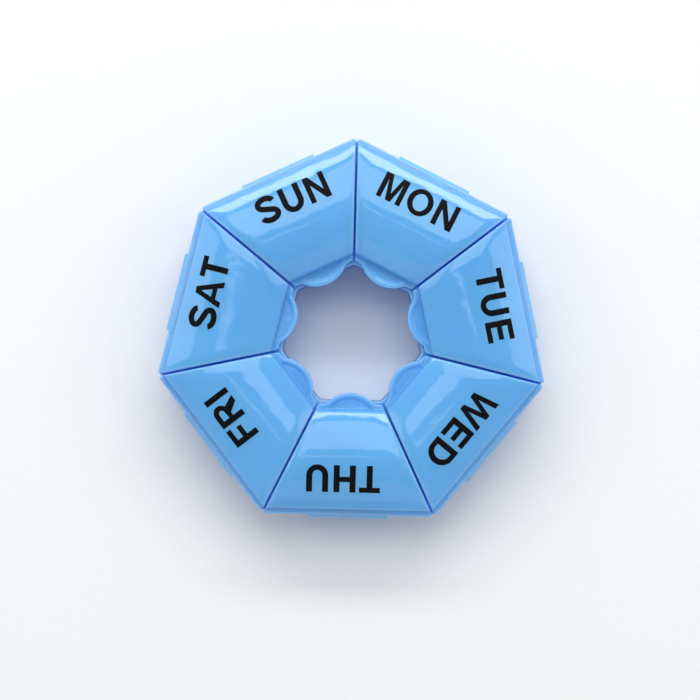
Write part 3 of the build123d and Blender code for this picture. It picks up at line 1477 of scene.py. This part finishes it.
@dataclass(frozen=True)
class PaleBoard:
    """Matt white board for the floor."""

    name: str = "pale_board"
    colour: Colour = (0.815, 0.825, 0.835)
    darker: float = 0.985
    grain: float = 0.01 * MM
    grain_size: float = 1.5 * MM
    roughness: tuple[float, float] = (0.75, 0.85)

    def build(self) -> bpy.types.Material:
        """Makes the finish.

        Returns:
            The material: a fine even grain in colour, dullness and relief.
        """
        nodes = Nodes(self.name)
        sockets = nodes.shader.inputs
        grain = nodes.between(nodes.noise(self.grain_size, detail=4), 0, 1)
        darker, full = opaque(self.colour, self.darker), opaque(self.colour)
        nodes.feed(sockets["Base Color"], nodes.mix(grain, darker, full))
        nodes.feed(sockets["Roughness"], nodes.between(grain, *self.roughness))
        nodes.feed(sockets["Normal"], nodes.bump(grain, self.grain))
        return nodes.material


@dataclass(frozen=True)
class Softbox:
    """A rectangular lamp that faces the ring, placed by angles off the ring's axis in degrees."""

    name: str
    left_right: float
    up_down: float
    width: float
    height: float
    radiance: float
    distance: float = 1.2

    def build(self) -> None:
        """Puts up the lamp, whose energy follows from its radiance and its area."""
        lamp = bpy.data.lights.new(self.name, "AREA")
        lamp.shape, lamp.size, lamp.size_y = "RECTANGLE", self.width, self.height
        lamp.energy = self.radiance * pi * self.width * self.height
        box = bpy.data.objects.new(self.name, lamp)
        bpy.context.scene.collection.objects.link(box)
        out = Vector((tan(radians(self.left_right)), tan(radians(self.up_down)), 1)).normalized()
        box.location = out * self.distance
        box.rotation_mode = "QUATERNION"
        box.rotation_quaternion = out.to_track_quat("Z", "Y")


SOFTBOXES = (
    Softbox("front_box", left_right=0, up_down=24, width=1.0, height=0.69, radiance=2.5),
    Softbox("top_band", left_right=0, up_down=50, width=1.5, height=0.2, radiance=8.3),
    Softbox("low_box", left_right=0, up_down=-38, width=1.1, height=0.45, radiance=0.6),
    Softbox("left_box", left_right=-47, up_down=15, width=0.4, height=0.6, radiance=1.8),
    Softbox("right_box", left_right=47, up_down=15, width=0.4, height=0.6, radiance=1.8),
    Softbox("near_strip", left_right=-5.3, up_down=0.5, width=0.018, height=0.27, radiance=3.5),
    Softbox("far_strip", left_right=-11.3, up_down=4.5, width=0.018, height=0.31, radiance=3.5),
)


@dataclass(frozen=True)
class Sky:
    """A pale sky that is dim straight overhead and a little dimmer on the near side."""

    name: str = "pale_sky"
    horizon: float = 1.21
    zenith: float = 0.08
    height_range: tuple[float, float] = (0.15, 0.95)
    near_side: float = 0.8
    near_range: tuple[float, float] = (-0.8, -0.1)

    def build(self) -> bpy.types.World:
        """Makes the sky.

        Returns:
            The world, whose light depends on its direction alone.
        """
        world = bpy.data.worlds.new(self.name)
        world.use_nodes = True
        tree = world.node_tree
        place = tree.nodes.new("ShaderNodeTexCoord")
        axes = tree.nodes.new("ShaderNodeSeparateXYZ")
        tree.links.new(place.outputs["Generated"], axes.inputs[0])
        level = tree.nodes.new("ShaderNodeMath")
        level.operation = "MULTIPLY"
        for socket, axis, span, low, high in (
            (level.inputs[0], "Z", self.height_range, self.horizon, self.zenith),
            (level.inputs[1], "Y", self.near_range, self.near_side, 1),
        ):
            ramp = tree.nodes.new("ShaderNodeMapRange")
            ramp.interpolation_type = "SMOOTHSTEP"
            for name, value in zip(("From Min", "From Max", "To Min", "To Max"), (*span, low, high)):
                ramp.inputs[name].default_value = value
            tree.links.new(axes.outputs[axis], ramp.inputs["Value"])
            tree.links.new(ramp.outputs[0], socket)
        back = tree.nodes["Background"]
        back.inputs["Color"].default_value = (1, 1, 1, 1)
        tree.links.new(level.outputs[0], back.inputs["Strength"])
        return world


@dataclass
class Studio:
    """Pale floor, soft lamps and the camera, straight above the ring.

    The picture is square and takes in the view's width at the view's height above the floor. The
    ring's pixel is where its axis lies in the picture, and the roll is in degrees.
    """

    view_width: float = 175 * MM
    view_height: float = 17.3 * MM
    camera_distance: float = 0.65
    sensor: float = 36.0
    roll: float = 1.37
    image_pixels: int = 700
    ring_pixel: tuple[float, float] = (352.2, 335.9)
    floor_size: float = 6.0

    def floor(self) -> None:
        """Lays the board that the ring lies on."""
        bpy.ops.object.select_all(action="DESELECT")
        bpy.ops.mesh.primitive_plane_add(size=self.floor_size)
        board = bpy.context.object
        board.name = board.data.name = "floor"
        board.data.materials.append(PaleBoard().build())

    def camera(self) -> None:
        """The camera, over the ring and turned so that the ring leans as in the photograph."""
        lens = bpy.data.cameras.new("camera")
        lens.sensor_width = self.sensor
        lens.lens = self.sensor * self.camera_distance / self.view_width
        eye = bpy.data.objects.new("camera", lens)
        bpy.context.scene.collection.objects.link(eye)
        scale = self.view_width / self.image_pixels
        middle = self.image_pixels / 2
        right, up = (self.ring_pixel[0] - middle) * scale, (middle - self.ring_pixel[1]) * scale
        lean = radians(self.roll)
        eye.location = (
            -(right * cos(lean) - up * sin(lean)),
            -(right * sin(lean) + up * cos(lean)),
            self.view_height + self.camera_distance,
        )
        eye.rotation_euler = (0, 0, lean)
        bpy.context.scene.camera = eye

    def build(self) -> None:
        """Sets up floor, lamps, sky, camera and the plain view transform."""
        self.floor()
        for box in SOFTBOXES:
            box.build()
        bpy.context.scene.world = Sky().build()
        self.camera()
        bpy.context.scene.view_settings.view_transform = "Standard"


def main() -> None:
    """Builds the organizer's visual model round the frame and reports each piece."""
    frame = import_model()
    lid_finish, tray_finish, web_finish = LID_PLASTIC.build(), TRAY_PLASTIC.build(), WEB_PLASTIC.build()
    ink = Ink().build()

    Tray().fit(frame["nodes"]["tray"], tray_finish)
    lid, web = Lid(), HingeWeb()
    printer = DayPrint(lid)
    lid_model, web_model = lid.model(), web.model()
    for day in Day:
        lid.fit(lid_model, day, lid_finish)
        printer.fit(day, ink)
        web.fit(web_model, day, web_finish)
    for model in (lid_model, web_model):
        bpy.data.objects.remove(model)

    Studio().build()


if __name__ == "__main__":
    logging.basicConfig(level=logging.INFO, format="%(name)s: %(message)s")
    main()
